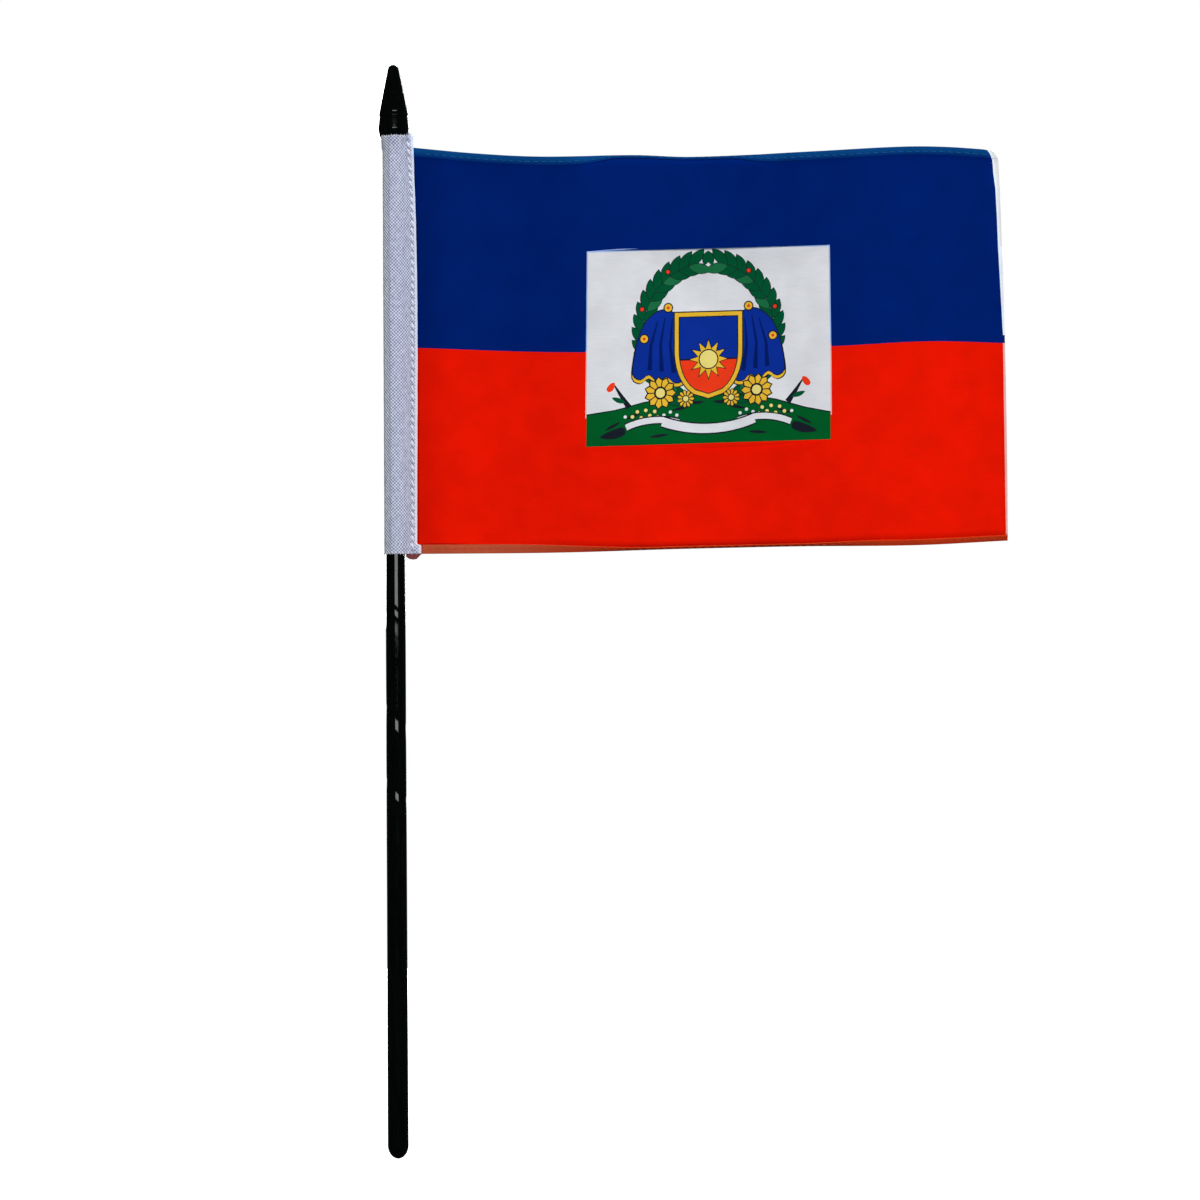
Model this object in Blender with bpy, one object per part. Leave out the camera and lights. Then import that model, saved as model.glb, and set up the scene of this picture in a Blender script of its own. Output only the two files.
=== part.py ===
"""A small desk stick flag.

A moulded plastic staff carries a pointed finial, pressed over its top end. A woven tape is
folded round the staff as a sleeve that slides and turns on it, and its two ends lap over the
front and the back of a printed cloth. A lockstitched seam joins tape and cloth, and two more
hold the cloth's top and bottom hems. The cloth folds along the sleeve's edge.

Frame: metres. The origin is the tip of the staff's foot, on the staff's axis. +Z runs up the
staff, +X towards the cloth's free edge, the fly, and -Y is the front of the cloth.

The cloth and the tape are flexible in the real object. Here each is split at its joint into
rigid solids: the tape into the wrap round the staff and its two laps, and the cloth into the
margin inside the laps and the panel beyond them.
"""
import math
from bisect import bisect_right

import bmesh
import bpy
from mathutils import Matrix, Vector

MM = 0.001
ROUND_SIDES = 40
SHARP_ANGLE = math.radians(35)

# Gap between solids that touch on the real object
TOUCH_GAP = 0.3 * MM

# Staff: it tapers a little from the foot to the top
STAFF_TOP = 261.5 * MM
STAFF_FOOT_RADIUS = 2.6 * MM
STAFF_TOP_RADIUS = 2.29 * MM
STAFF_DOME = 3.4 * MM
STAFF_DOME_STEPS = 7
STAFF_CHAMFER = 0.3 * MM

# Finial: a cone with a shallow groove and a collar, and a blind socket for the staff
FINIAL_TIP = 273.4 * MM
FINIAL_TIP_RADIUS = 1.45 * MM
FINIAL_TIP_STEPS = 5
FINIAL_CONE_BASE = 260.9 * MM
FINIAL_CONE_RADIUS = 3.7 * MM
FINIAL_GROOVE_TOP = 260.4 * MM
FINIAL_GROOVE_BOTTOM = 259.8 * MM
FINIAL_GROOVE_RADIUS = 3.45 * MM
FINIAL_COLLAR_TOP = 259.4 * MM
FINIAL_COLLAR_BOTTOM = 256.5 * MM
FINIAL_COLLAR_RADIUS = 3.85 * MM
FINIAL_COLLAR_ROUND = 0.25 * MM
FINIAL_BOTTOM = 253.2 * MM
FINIAL_BOTTOM_RADIUS = 2.72 * MM
FINIAL_SOCKET_RADIUS = 2.36 * MM
FINIAL_SOCKET_TOP = 261.8 * MM

# Sleeve tape: its wrap also clears the thick end of the staff
TAPE_THICKNESS = 0.2 * MM
WRAP_INNER_RADIUS = 2.6 * MM
WRAP_TOP = FINIAL_BOTTOM - TOUCH_GAP
WRAP_BOTTOM = 151.2 * MM
LAP_BEND_X = 4.3 * MM
LAP_EDGE_TOP_X = 5.1 * MM
LAP_EDGE_BOTTOM_X = 5.7 * MM
FRONT_TAB_TOP = 255.6 * MM
BACK_TAB_TOP = 256.4 * MM
BACK_TAB_X = 6.6 * MM
BACK_TAB_HEIGHT = 2.2 * MM

# Cloth: distances run from the staff's axis, and each edge is a smooth curve of a few points
CLOTH_THICKNESS = 0.3 * MM
MARGIN_START = 3.5 * MM
MARGIN_END = 6.7 * MM
FOLD_X = 7.0 * MM
PANEL_START = 7.3 * MM
FLY_MIDDLE_X = 152.3 * MM
FLY_TOP_X = 151.2 * MM
FLY_BOTTOM_X = 152.9 * MM
TOP_EDGE_MM = ((3.5, 253.0), (20, 251.3), (38, 250.3), (61, 250.6), (75, 250.2),
               (106, 251.4), (129, 252.4), (152.3, 250.9))
MIDDLE_LINE_MM = ((3.5, 202.7), (48, 201.3), (108, 202.5), (134, 203.7), (152.3, 203.2))
BOTTOM_EDGE_MM = ((3.5, 151.3), (40, 151.5), (70, 152.3), (100, 152.8), (130, 152.9),
                  (152.3, 153.8))
WAVE_DEPTH = 1.5 * MM
WAVE_LENGTH = 62 * MM
WAVE_LEAN = 0.9
WAVE_FADE_END = 34 * MM
HEM_SHARE = 0.02
PANEL_COLUMNS = 48
PANEL_ROWS = 8

# Threads: each runs along its seam in front of or behind the layers that it holds
THREAD_RADIUS = 0.1 * MM
THREAD_POINTS = 32
HOIST_THREAD_POINTS = 12
THREAD_END_GAP = 1.5 * MM
HOIST_SEAM_X = 4.5 * MM

BLACK_PLASTIC = ("black_plastic", (0.010, 0.012, 0.012), 0.16)
WHITE_TAPE = ("white_tape", (0.62, 0.64, 0.72), 0.85)
PRINTED_CLOTH = ("printed_cloth", (0.003, 0.013, 0.14), 0.75)
WHITE_THREAD = ("white_thread", (0.75, 0.76, 0.80), 0.6)
BLUE_THREAD = ("blue_thread", (0.01, 0.07, 0.28), 0.6)
RED_THREAD = ("red_thread", (0.55, 0.02, 0.01), 0.6)


# ---- helpers ----

def clear_scene():
    """Remove every object of the open scene."""
    for obj in list(bpy.data.objects):
        bpy.data.objects.remove(obj, do_unlink=True)


def plain_material(name, colour, roughness):
    """A Principled material with no metal in it."""
    material = bpy.data.materials.new(name)
    material.use_nodes = True
    shader = material.node_tree.nodes["Principled BSDF"]
    shader.inputs["Base Color"].default_value = (*colour, 1.0)
    shader.inputs["Roughness"].default_value = roughness
    shader.inputs["Metallic"].default_value = 0.0
    return material


def world_origin(empty):
    """Where a joint's empty stands; empties are only moved, never turned or scaled."""
    return empty.location + world_origin(empty.parent) if empty else Vector((0, 0, 0))


def joint_frame(name, place, parent=None):
    """An empty on a joint's axis, which carries the pieces that the joint moves."""
    empty = bpy.data.objects.new(name, None)
    empty.empty_display_size = 10 * MM
    bpy.context.scene.collection.objects.link(empty)
    empty.parent = parent
    empty.location = Vector(place) - world_origin(parent)
    return empty


def add_piece(name, data, finish, parent=None):
    """Add a piece given in the part's frame; its own origin goes to its parent's place."""
    data.transform(Matrix.Translation(-world_origin(parent)))
    data.materials.append(plain_material(*finish))
    obj = bpy.data.objects.new(name, data)
    bpy.context.scene.collection.objects.link(obj)
    obj.parent = parent
    return obj


def turned_mesh(name, profile, closed=False):
    """A solid turned round Z from (radius, height) points that run from its top down."""
    bm = bmesh.new()
    verts = [bm.verts.new((radius, 0, height)) for radius, height in profile]
    edges = [bm.edges.new(pair) for pair in zip(verts, verts[1:])]
    if closed:
        edges.append(bm.edges.new((verts[-1], verts[0])))
    bmesh.ops.spin(bm, geom=verts + edges, cent=(0, 0, 0), axis=(0, 0, 1),
                   angle=2 * math.pi, steps=ROUND_SIDES, use_merge=True)
    bmesh.ops.remove_doubles(bm, verts=bm.verts, dist=0.001 * MM)
    bmesh.ops.dissolve_degenerate(bm, edges=bm.edges, dist=0.001 * MM)
    bmesh.ops.recalc_face_normals(bm, faces=bm.faces)
    mesh = bpy.data.meshes.new(name)
    bm.to_mesh(mesh)
    bm.free()
    mesh.shade_smooth()
    mesh.set_sharp_from_angle(angle=SHARP_ANGLE)
    return mesh


def sheet_mesh(name, columns, rows, place, present=lambda column, row: True):
    """An open sheet of columns by rows cells, whose corner (i, j) stands at place(i, j)."""
    bm = bmesh.new()
    verts = {(i, j): bm.verts.new(place(i, j))
             for i in range(columns + 1) for j in range(rows + 1)}
    for i in range(columns):
        for j in range(rows):
            if present(i, j):
                corners = (verts[i, j], verts[i + 1, j], verts[i + 1, j + 1], verts[i, j + 1])
                bm.faces.new(corners)
    loose = [vert for vert in bm.verts if not vert.link_faces]
    bmesh.ops.delete(bm, geom=loose, context="VERTS")
    mesh = bpy.data.meshes.new(name)
    bm.to_mesh(mesh)
    bm.free()
    mesh.shade_smooth()
    mesh.set_sharp_from_angle(angle=SHARP_ANGLE)
    return mesh


def thicken(obj, thickness):
    """Give a sheet its thickness, half to each side."""
    solidify = obj.modifiers.new("thickness", "SOLIDIFY")
    solidify.thickness = thickness
    solidify.offset = 0.0
    solidify.use_even_offset = True


def thread_curve(name, points):
    """A thread as a round tube with closed ends along a list of points."""
    curve = bpy.data.curves.new(name, "CURVE")
    curve.dimensions = "3D"
    curve.bevel_depth = THREAD_RADIUS
    curve.bevel_resolution = 2
    curve.use_fill_caps = True
    spline = curve.splines.new("POLY")
    spline.points.add(len(points) - 1)
    for spline_point, point in zip(spline.points, points):
        spline_point.co = (*point, 1.0)
    return curve


def smooth_curve(points_mm, distance):
    """Height at a distance along the smooth curve through a few (distance, height) points."""
    xs = [point[0] * MM for point in points_mm]
    zs = [point[1] * MM for point in points_mm]
    last = len(xs) - 1
    x = min(max(distance, xs[0]), xs[last])
    i = min(bisect_right(xs, x) - 1, last - 1)

    def slope(k):
        before, after = max(k - 1, 0), min(k + 1, last)
        return (zs[after] - zs[before]) / (xs[after] - xs[before])

    step = xs[i + 1] - xs[i]
    t = (x - xs[i]) / step
    ends = (2 * t**3 - 3 * t**2 + 1) * zs[i] + (3 * t**2 - 2 * t**3) * zs[i + 1]
    return ends + step * ((t**3 - 2 * t**2 + t) * slope(i) + (t**3 - t**2) * slope(i + 1))


def parabola(low, middle, high, share):
    """The value at share of the parabola through its values at 0, one half and 1."""
    return (low * (2 * share - 1) * (share - 1) + middle * 4 * share * (1 - share)
            + high * share * (2 * share - 1))


def smoothstep(share):
    share = min(max(share, 0.0), 1.0)
    return share * share * (3 - 2 * share)


def cloth_point(distance, share, depth=0.0):
    """A point of the cloth: distance from the staff's axis along it, share of its height from
    the bottom edge, and depth behind its middle surface."""
    height = parabola(smooth_curve(BOTTOM_EDGE_MM, distance),
                      smooth_curve(MIDDLE_LINE_MM, distance),
                      smooth_curve(TOP_EDGE_MM, distance), share)
    fly_x = parabola(FLY_BOTTOM_X, FLY_MIDDLE_X, FLY_TOP_X, share)
    pull = (fly_x - MARGIN_START) / (FLY_MIDDLE_X - MARGIN_START)
    fade = smoothstep((distance - FOLD_X) / (WAVE_FADE_END - FOLD_X))
    turn = 2 * math.pi * (distance - FOLD_X) / WAVE_LENGTH + WAVE_LEAN * (share - 0.5)
    wave = WAVE_DEPTH * fade * math.sin(turn)
    return (MARGIN_START + (distance - MARGIN_START) * pull, wave + depth, height)


def spread(start, end, count):
    """count + 1 values, evenly spread from start to end."""
    return [start + (end - start) * i / count for i in range(count + 1)]


# ---- staff and finial ----

def staff_radius(height):
    """The staff's radius at a height: a straight taper above the dome of its foot."""
    share = (height - STAFF_DOME) / (STAFF_TOP - STAFF_DOME)
    return STAFF_FOOT_RADIUS + (STAFF_TOP_RADIUS - STAFF_FOOT_RADIUS) * share


def make_staff():
    dome = []
    for step in range(STAFF_DOME_STEPS + 1):
        angle = math.pi / 2 * step / STAFF_DOME_STEPS
        dome.append((STAFF_FOOT_RADIUS * math.cos(angle), STAFF_DOME * (1 - math.sin(angle))))
    profile = [
        (0, STAFF_TOP),
        (STAFF_TOP_RADIUS - STAFF_CHAMFER, STAFF_TOP),
        (STAFF_TOP_RADIUS, STAFF_TOP - STAFF_CHAMFER),
    ]
    profile += [(staff_radius(height), height) for height in (WRAP_TOP, WRAP_BOTTOM)]
    add_piece("staff", turned_mesh("staff", profile + dome), BLACK_PLASTIC)


def make_finial():
    slope = math.atan2(FINIAL_CONE_RADIUS - FINIAL_TIP_RADIUS, FINIAL_TIP - FINIAL_CONE_BASE)
    tip_centre = FINIAL_TIP - FINIAL_TIP_RADIUS
    profile = []
    for step in range(FINIAL_TIP_STEPS + 1):
        angle = math.pi / 2 - (math.pi / 2 - slope) * step / FINIAL_TIP_STEPS
        profile.append((FINIAL_TIP_RADIUS * math.cos(angle),
                        tip_centre + FINIAL_TIP_RADIUS * math.sin(angle)))
    profile[0] = (0, FINIAL_TIP)
    profile += [
        (FINIAL_CONE_RADIUS, FINIAL_CONE_BASE),
        (FINIAL_GROOVE_RADIUS, FINIAL_GROOVE_TOP),
        (FINIAL_GROOVE_RADIUS, FINIAL_GROOVE_BOTTOM),
        (FINIAL_COLLAR_RADIUS - FINIAL_COLLAR_ROUND, FINIAL_COLLAR_TOP),
        (FINIAL_COLLAR_RADIUS, FINIAL_COLLAR_TOP - FINIAL_COLLAR_ROUND),
        (FINIAL_COLLAR_RADIUS, FINIAL_COLLAR_BOTTOM + FINIAL_COLLAR_ROUND),
        (FINIAL_COLLAR_RADIUS - FINIAL_COLLAR_ROUND, FINIAL_COLLAR_BOTTOM),
        (FINIAL_BOTTOM_RADIUS, FINIAL_BOTTOM),
        (FINIAL_SOCKET_RADIUS, FINIAL_BOTTOM),
        (FINIAL_SOCKET_RADIUS, FINIAL_SOCKET_TOP),
        (0, FINIAL_SOCKET_TOP),
    ]
    add_piece("finial", turned_mesh("finial", profile), BLACK_PLASTIC)


# ---- sleeve tape ----

def make_sleeve_wrap(parent):
    outer = WRAP_INNER_RADIUS + TAPE_THICKNESS
    profile = [(WRAP_INNER_RADIUS, WRAP_TOP), (outer, WRAP_TOP),
               (outer, WRAP_BOTTOM), (WRAP_INNER_RADIUS, WRAP_BOTTOM)]
    mesh = turned_mesh("sleeve_wrap", profile, closed=True)
    add_piece("sleeve_wrap", mesh, WHITE_TAPE, parent)


def make_lap(name, side, tab_top, tab_x, parent):
    """One end of the tape: it leaves the wrap on a tangent and lies flat on the cloth."""
    flat_y = CLOTH_THICKNESS / 2 + TOUCH_GAP + TAPE_THICKNESS / 2
    start_radius = WRAP_INNER_RADIUS + TAPE_THICKNESS + TOUCH_GAP + TAPE_THICKNESS / 2
    reach = math.hypot(LAP_BEND_X, flat_y)
    start_angle = math.atan2(flat_y, LAP_BEND_X) + math.acos(start_radius / reach)
    start = (start_radius * math.cos(start_angle), start_radius * math.sin(start_angle))
    heights = [WRAP_BOTTOM, WRAP_BOTTOM + BACK_TAB_HEIGHT, WRAP_TOP, tab_top]

    def place(column, row):
        height = heights[row]
        share = (height - WRAP_BOTTOM) / (WRAP_TOP - WRAP_BOTTOM)
        edge_x = LAP_EDGE_BOTTOM_X + (LAP_EDGE_TOP_X - LAP_EDGE_BOTTOM_X) * share
        x = (start[0], LAP_BEND_X, edge_x, tab_x)[column]
        y = start[1] if column == 0 else flat_y
        return (x, side * y, height)

    def present(column, row):
        if column == 2:
            return row == 0 and tab_x > LAP_EDGE_BOTTOM_X
        return row < 2 or column == 1

    obj = add_piece(name, sheet_mesh(name, 3, 3, place, present), WHITE_TAPE, parent)
    thicken(obj, TAPE_THICKNESS)


# ---- cloth ----

def make_cloth_sheet(name, distances, shares, depth, parent):
    """A piece of cloth over a grid of distances and height shares."""
    def place(column, row):
        return cloth_point(distances[column], shares[row], depth)

    mesh = sheet_mesh(name, len(distances) - 1, len(shares) - 1, place)
    obj = add_piece(name, mesh, PRINTED_CLOTH, parent)
    thicken(obj, CLOTH_THICKNESS)


def make_cloth(hoist, panel):
    heights = spread(0.0, 1.0, PANEL_ROWS)
    along = spread(PANEL_START, FLY_MIDDLE_X, PANEL_COLUMNS)
    hem_depth = -(CLOTH_THICKNESS + TOUCH_GAP)
    make_cloth_sheet("cloth_hoist_margin", [MARGIN_START, MARGIN_END], heights, 0.0, hoist)
    make_cloth_sheet("cloth_panel", along, heights, 0.0, panel)
    make_cloth_sheet("cloth_top_hem", along, [1 - HEM_SHARE, 1.0], hem_depth, panel)
    make_cloth_sheet("cloth_bottom_hem", along, [0.0, HEM_SHARE], hem_depth, panel)


# ---- threads ----

def make_hoist_threads(parent):
    """The needle thread lies on the front lap and the bobbin thread on the back lap."""
    depth = CLOTH_THICKNESS / 2 + 2 * TOUCH_GAP + TAPE_THICKNESS + THREAD_RADIUS
    heights = spread(WRAP_BOTTOM + THREAD_END_GAP, WRAP_TOP - THREAD_END_GAP,
                     HOIST_THREAD_POINTS - 1)
    for name, side in (("hoist_needle_thread", -1), ("hoist_bobbin_thread", 1)):
        points = [(HOIST_SEAM_X, side * depth, height) for height in heights]
        add_piece(name, thread_curve(name, points), WHITE_THREAD, parent)


def make_hem_threads(edge, share, finish, parent):
    """The needle thread lies on the hem and the bobbin thread behind the panel."""
    behind = CLOTH_THICKNESS / 2 + TOUCH_GAP + THREAD_RADIUS
    in_front = behind + CLOTH_THICKNESS + TOUCH_GAP
    along = spread(PANEL_START + THREAD_END_GAP, FLY_MIDDLE_X - THREAD_END_GAP,
                   THREAD_POINTS - 1)
    for kind, depth in (("needle", -in_front), ("bobbin", behind)):
        name = f"{edge}_hem_{kind}_thread"
        points = [cloth_point(distance, share, depth) for distance in along]
        add_piece(name, thread_curve(name, points), finish, parent)


def build():
    clear_scene()
    make_staff()
    make_finial()
    slide = joint_frame("sleeve_slide_axis", (0, 0, WRAP_TOP))
    swivel = joint_frame("sleeve_swivel_axis", (0, 0, WRAP_TOP), slide)
    fold = joint_frame("cloth_fold_axis", (FOLD_X, 0, WRAP_TOP), swivel)
    make_sleeve_wrap(slide)
    make_lap("sleeve_front_lap", -1, FRONT_TAB_TOP, LAP_EDGE_BOTTOM_X, swivel)
    make_lap("sleeve_back_lap", 1, BACK_TAB_TOP, BACK_TAB_X, swivel)
    make_cloth(swivel, fold)
    make_hoist_threads(swivel)
    make_hem_threads("top", 1 - HEM_SHARE / 2, BLUE_THREAD, fold)
    make_hem_threads("bottom", HEM_SHARE / 2, RED_THREAD, fold)


build()
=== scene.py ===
"""The looks of the desk stick flag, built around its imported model.

The cloth is one thin sheet, cut with its hems and turned over at the top and the bottom. Its
print is drawn as flat outlines on the cut cloth, and a triangulation turns them into faces of
the sheet. The sleeve is one woven tape folded round the staff. The sewing threads are stitches.

Lengths are in millimetres up to the point where a mesh is made, and in metres from there on.
On the cut cloth s runs from the staff's axis along the cloth, and w up the cloth: 0 is the
bottom fold, 100 the top fold, and the hems lie beyond them.
"""
import math
from bisect import bisect_right
from random import Random

import bmesh
import bpy
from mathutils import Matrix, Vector, noise
from mathutils.geometry import delaunay_2d_cdt


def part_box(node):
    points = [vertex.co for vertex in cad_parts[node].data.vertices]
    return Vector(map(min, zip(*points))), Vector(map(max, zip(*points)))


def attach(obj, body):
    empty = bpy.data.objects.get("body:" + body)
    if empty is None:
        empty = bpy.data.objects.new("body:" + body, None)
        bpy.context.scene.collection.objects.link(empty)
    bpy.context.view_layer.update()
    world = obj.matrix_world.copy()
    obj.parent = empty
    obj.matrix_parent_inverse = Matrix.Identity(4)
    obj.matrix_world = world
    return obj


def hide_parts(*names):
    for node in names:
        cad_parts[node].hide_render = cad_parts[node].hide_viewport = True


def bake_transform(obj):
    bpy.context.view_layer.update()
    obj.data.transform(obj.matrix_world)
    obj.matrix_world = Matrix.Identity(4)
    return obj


MM = 0.001
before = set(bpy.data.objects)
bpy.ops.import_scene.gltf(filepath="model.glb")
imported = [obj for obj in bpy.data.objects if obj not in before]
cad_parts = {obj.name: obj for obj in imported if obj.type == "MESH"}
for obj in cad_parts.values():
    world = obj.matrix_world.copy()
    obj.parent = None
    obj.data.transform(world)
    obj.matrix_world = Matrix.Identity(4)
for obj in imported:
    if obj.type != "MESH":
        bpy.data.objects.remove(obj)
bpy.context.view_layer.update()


# ---- sizes read from the frame ----

def box_mm(node):
    """The lowest and the highest corner of a CAD node, in millimetres."""
    low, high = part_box(node)
    return low / MM, high / MM


STAFF_TOP = box_mm("staff")[1].z
STAFF_FOOT_RADIUS = box_mm("staff")[1].x
FINIAL_BOTTOM = box_mm("finial")[0].z
FINIAL_TIP = box_mm("finial")[1].z
COLLAR_RADIUS = box_mm("finial")[1].x
TAPE_BOTTOM = box_mm("sleeve_wrap")[0].z
FRONT_TAB_TOP = box_mm("sleeve_front_lap")[1].z
BACK_TAB_TOP = box_mm("sleeve_back_lap")[1].z
TAB_X = box_mm("sleeve_back_lap")[1].x
CLOTH_START = box_mm("cloth_hoist_margin")[0].x

# ---- sizes repeated from the model ----

STAFF_TOP_RADIUS = 2.29
STAFF_DOME = 3.4
FOLD_X = 7.0
FLY_X = (153.2, 152.7, 151.2)
TOP_EDGE = ((3.5, 252.65), (20, 251.1), (38, 250.1), (61, 250.4), (75, 249.95), (106, 251.08),
            (129, 252.23), (140, 252.12), (152.3, 251.2))
MIDDLE_LINE = ((3.5, 202.7), (48, 201.3), (108, 202.5), (134, 203.7), (152.3, 203.2))
BOTTOM_EDGE = ((3.5, 151.3), (40, 151.5), (70, 152.3), (100, 152.8), (130, 152.95),
               (152.3, 154.0))
WAVE_DEPTH = 1.5
WAVE_LENGTH = 62.0
WAVE_LEAN = 0.9
WAVE_FADE_END = 34.0
FINIAL_FOOT_RADIUS = 2.72

# ---- the cut cloth ----

CLOTH_END = FLY_X[1]
FOLD_TOP = 100.0
CLOTH_THICKNESS = 0.12
HEM_TURN = 0.14
HEM_WIDTH = 1.9
HEM_UNDER_TURN = 0.07
HEM_UNDER_WIDTH = 1.6
HEM_LENGTH = math.pi * HEM_TURN + HEM_WIDTH + math.pi * HEM_UNDER_TURN + HEM_UNDER_WIDTH
HEM_STITCH_Q = 1.15
HEM_STITCH_PITCH = 2.1
ROLL_BAND = 3.3
ROLL_BEND = 1.5

# ---- the sleeve tape ----

TAPE_THICKNESS = 0.13
TAPE_WIDTH = 21.5
TAPE_COLUMNS = 96
TAPE_ROWS = 300
STITCH_PITCH = 1.97
LAP_EDGE_LINE = ((151.2, 5.5), (160, 5.5), (207, 5.8), (232, 5.55), (245, 5.2), (252, 5.0),
                 (256.5, 4.9))
STITCH_LINE = ((151.2, 4.3), (157, 4.34), (207, 4.54), (236.6, 4.56), (246.6, 4.08),
               (252, 3.76), (256.5, 3.5))
TAB_HEIGHT = 2.3


# ---- curves and surfaces ----

def smooth_curve(points, distance):
    """Height at a distance along the smooth curve through a few (distance, height) points."""
    xs = [point[0] for point in points]
    zs = [point[1] for point in points]
    last = len(xs) - 1
    x = min(max(distance, xs[0]), xs[last])
    i = min(bisect_right(xs, x) - 1, last - 1)

    def slope(k):
        before, after = max(k - 1, 0), min(k + 1, last)
        return (zs[after] - zs[before]) / (xs[after] - xs[before])

    step = xs[i + 1] - xs[i]
    t = (x - xs[i]) / step
    ends = (2 * t**3 - 3 * t**2 + 1) * zs[i] + (3 * t**2 - 2 * t**3) * zs[i + 1]
    return ends + step * ((t**3 - 2 * t**2 + t) * slope(i) + (t**3 - t**2) * slope(i + 1))


def spline(before, start, end, after, t):
    """A point of the smooth curve from start to end, which heads for the points beyond them."""
    return 0.5 * (2 * start + (end - before) * t
                  + (2 * before - 5 * start + 4 * end - after) * t**2
                  + (3 * start - before - 3 * end + after) * t**3)


def parabola(low, middle, high, share):
    """The value at share of the parabola through its values at 0, one half and 1."""
    return (low * (2 * share - 1) * (share - 1) + middle * 4 * share * (1 - share)
            + high * share * (2 * share - 1))


def ramp(value, start, end):
    """0 at start, 1 at end, and smooth between them."""
    share = min(max((value - start) / (end - start), 0.0), 1.0)
    return share * share * (3 - 2 * share)


def bump(value, centre, width):
    """1 at the centre, falling smoothly to nothing about two widths away."""
    return math.exp(-(((value - centre) / width) ** 2))


def spread(start, end, count):
    """count + 1 values, evenly spread from start to end."""
    return [start + (end - start) * i / count for i in range(count + 1)]


def steps(start, end, pitch):
    """Evenly spread values from start to end, about one pitch apart."""
    return spread(start, end, max(1, round(abs(end - start) / pitch)))


def wander(seed, *place):
    """Smooth noise from -1 to 1 at up to three coordinates."""
    return noise.noise(Vector((*place, *(0.0,) * (3 - len(place)))) + Vector((seed, seed, seed)))


# ---- meshes ----

def add_object(name, data):
    """An object in the scene for a mesh, a light or a camera."""
    obj = bpy.data.objects.new(name, data)
    bpy.context.scene.collection.objects.link(obj)
    return obj


def new_piece(name, verts_mm, faces, uvs=None, smooth=True):
    """A mesh object from millimetre points; uvs, if given, has one pair for each vertex."""
    mesh = bpy.data.meshes.new(name)
    mesh.from_pydata([tuple(c * MM for c in vert) for vert in verts_mm], [], faces)
    if uvs:
        layer = mesh.uv_layers.new(name="cloth_mm")
        for loop in mesh.loops:
            layer.data[loop.index].uv = uvs[loop.vertex_index]
    mesh.validate()
    if smooth:
        mesh.shade_smooth()
    return add_object(name, mesh)


def face_outwards(obj):
    bm = bmesh.new()
    bm.from_mesh(obj.data)
    bmesh.ops.recalc_face_normals(bm, faces=bm.faces)
    bm.to_mesh(obj.data)
    bm.free()


def grid_faces(rings, wide, first=0, closed=True):
    """Quads between rings of wide vertices each, the first of them numbered first."""
    faces = []
    for i in range(rings - 1):
        for k in range(wide if closed else wide - 1):
            a, b = first + i * wide + k, first + i * wide + (k + 1) % wide
            faces.append((a, b, b + wide, a + wide))
    return faces


def tube(points, radius, sides=8, first=0):
    """Vertices, faces and UVs of a closed tube along points; its ends taper a little.

    A point may have a fourth number, which scales the tube's radius there.
    """
    verts, uvs = [], []
    scales = [point[3] if len(point) > 3 else 1.0 for point in points]
    points = [Vector(point[:3]) for point in points]
    side = Vector((0.31, 0.87, 0.38))
    length = 0.0
    for i, point in enumerate(points):
        along = (points[min(i + 1, len(points) - 1)] - points[max(i - 1, 0)]).normalized()
        side = (side - along * side.dot(along)).normalized()
        other = along.cross(side)
        length += (point - points[i - 1]).length if i else 0.0
        r = radius * (0.6 if i in (0, len(points) - 1) else 1.0) * scales[i]
        for k in range(sides):
            angle = 2 * math.pi * k / sides
            verts.append(point + (side * math.cos(angle) + other * math.sin(angle)) * r)
            uvs.append((length, k / sides))
    faces = grid_faces(len(points), sides, first)
    end = first + (len(points) - 1) * sides
    faces.append(tuple(first + k for k in reversed(range(sides))))
    faces.append(tuple(end + k for k in range(sides)))
    return verts, faces, uvs


def tube_piece(name, runs, radius, sides=8):
    """One mesh of separate tubes, one for each run of points."""
    verts, faces, uvs = [], [], []
    for run in runs:
        more = tube(run, radius, sides, len(verts))
        verts += more[0]
        faces += more[1]
        uvs += more[2]
    return new_piece(name, verts, faces, uvs)


def filleted(corners, steps_each=5):
    """A (radius, height) profile whose corners are rounded: each corner is (r, z, fillet).

    One more point beside each rounding keeps the straight stretches flat under smooth shading.
    """
    beside = 0.05
    profile = []
    for i, (r, z, fillet) in enumerate(corners):
        corner = Vector((r, z))
        if not fillet or i in (0, len(corners) - 1):
            profile.append(corner)
            continue
        before = Vector(corners[i - 1][:2]) - corner
        after = Vector(corners[i + 1][:2]) - corner
        start = corner + before.normalized() * min(fillet, before.length * 0.49)
        end = corner + after.normalized() * min(fillet, after.length * 0.49)
        if before.length > 2 * (fillet + beside):
            profile.append(start + before.normalized() * beside)
        for t in spread(0.0, 1.0, steps_each):
            profile.append(start * (1 - t) ** 2 + corner * 2 * t * (1 - t) + end * t * t)
        if after.length > 2 * (fillet + beside):
            profile.append(end + after.normalized() * beside)
    return [tuple(point) for point in profile]


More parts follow.
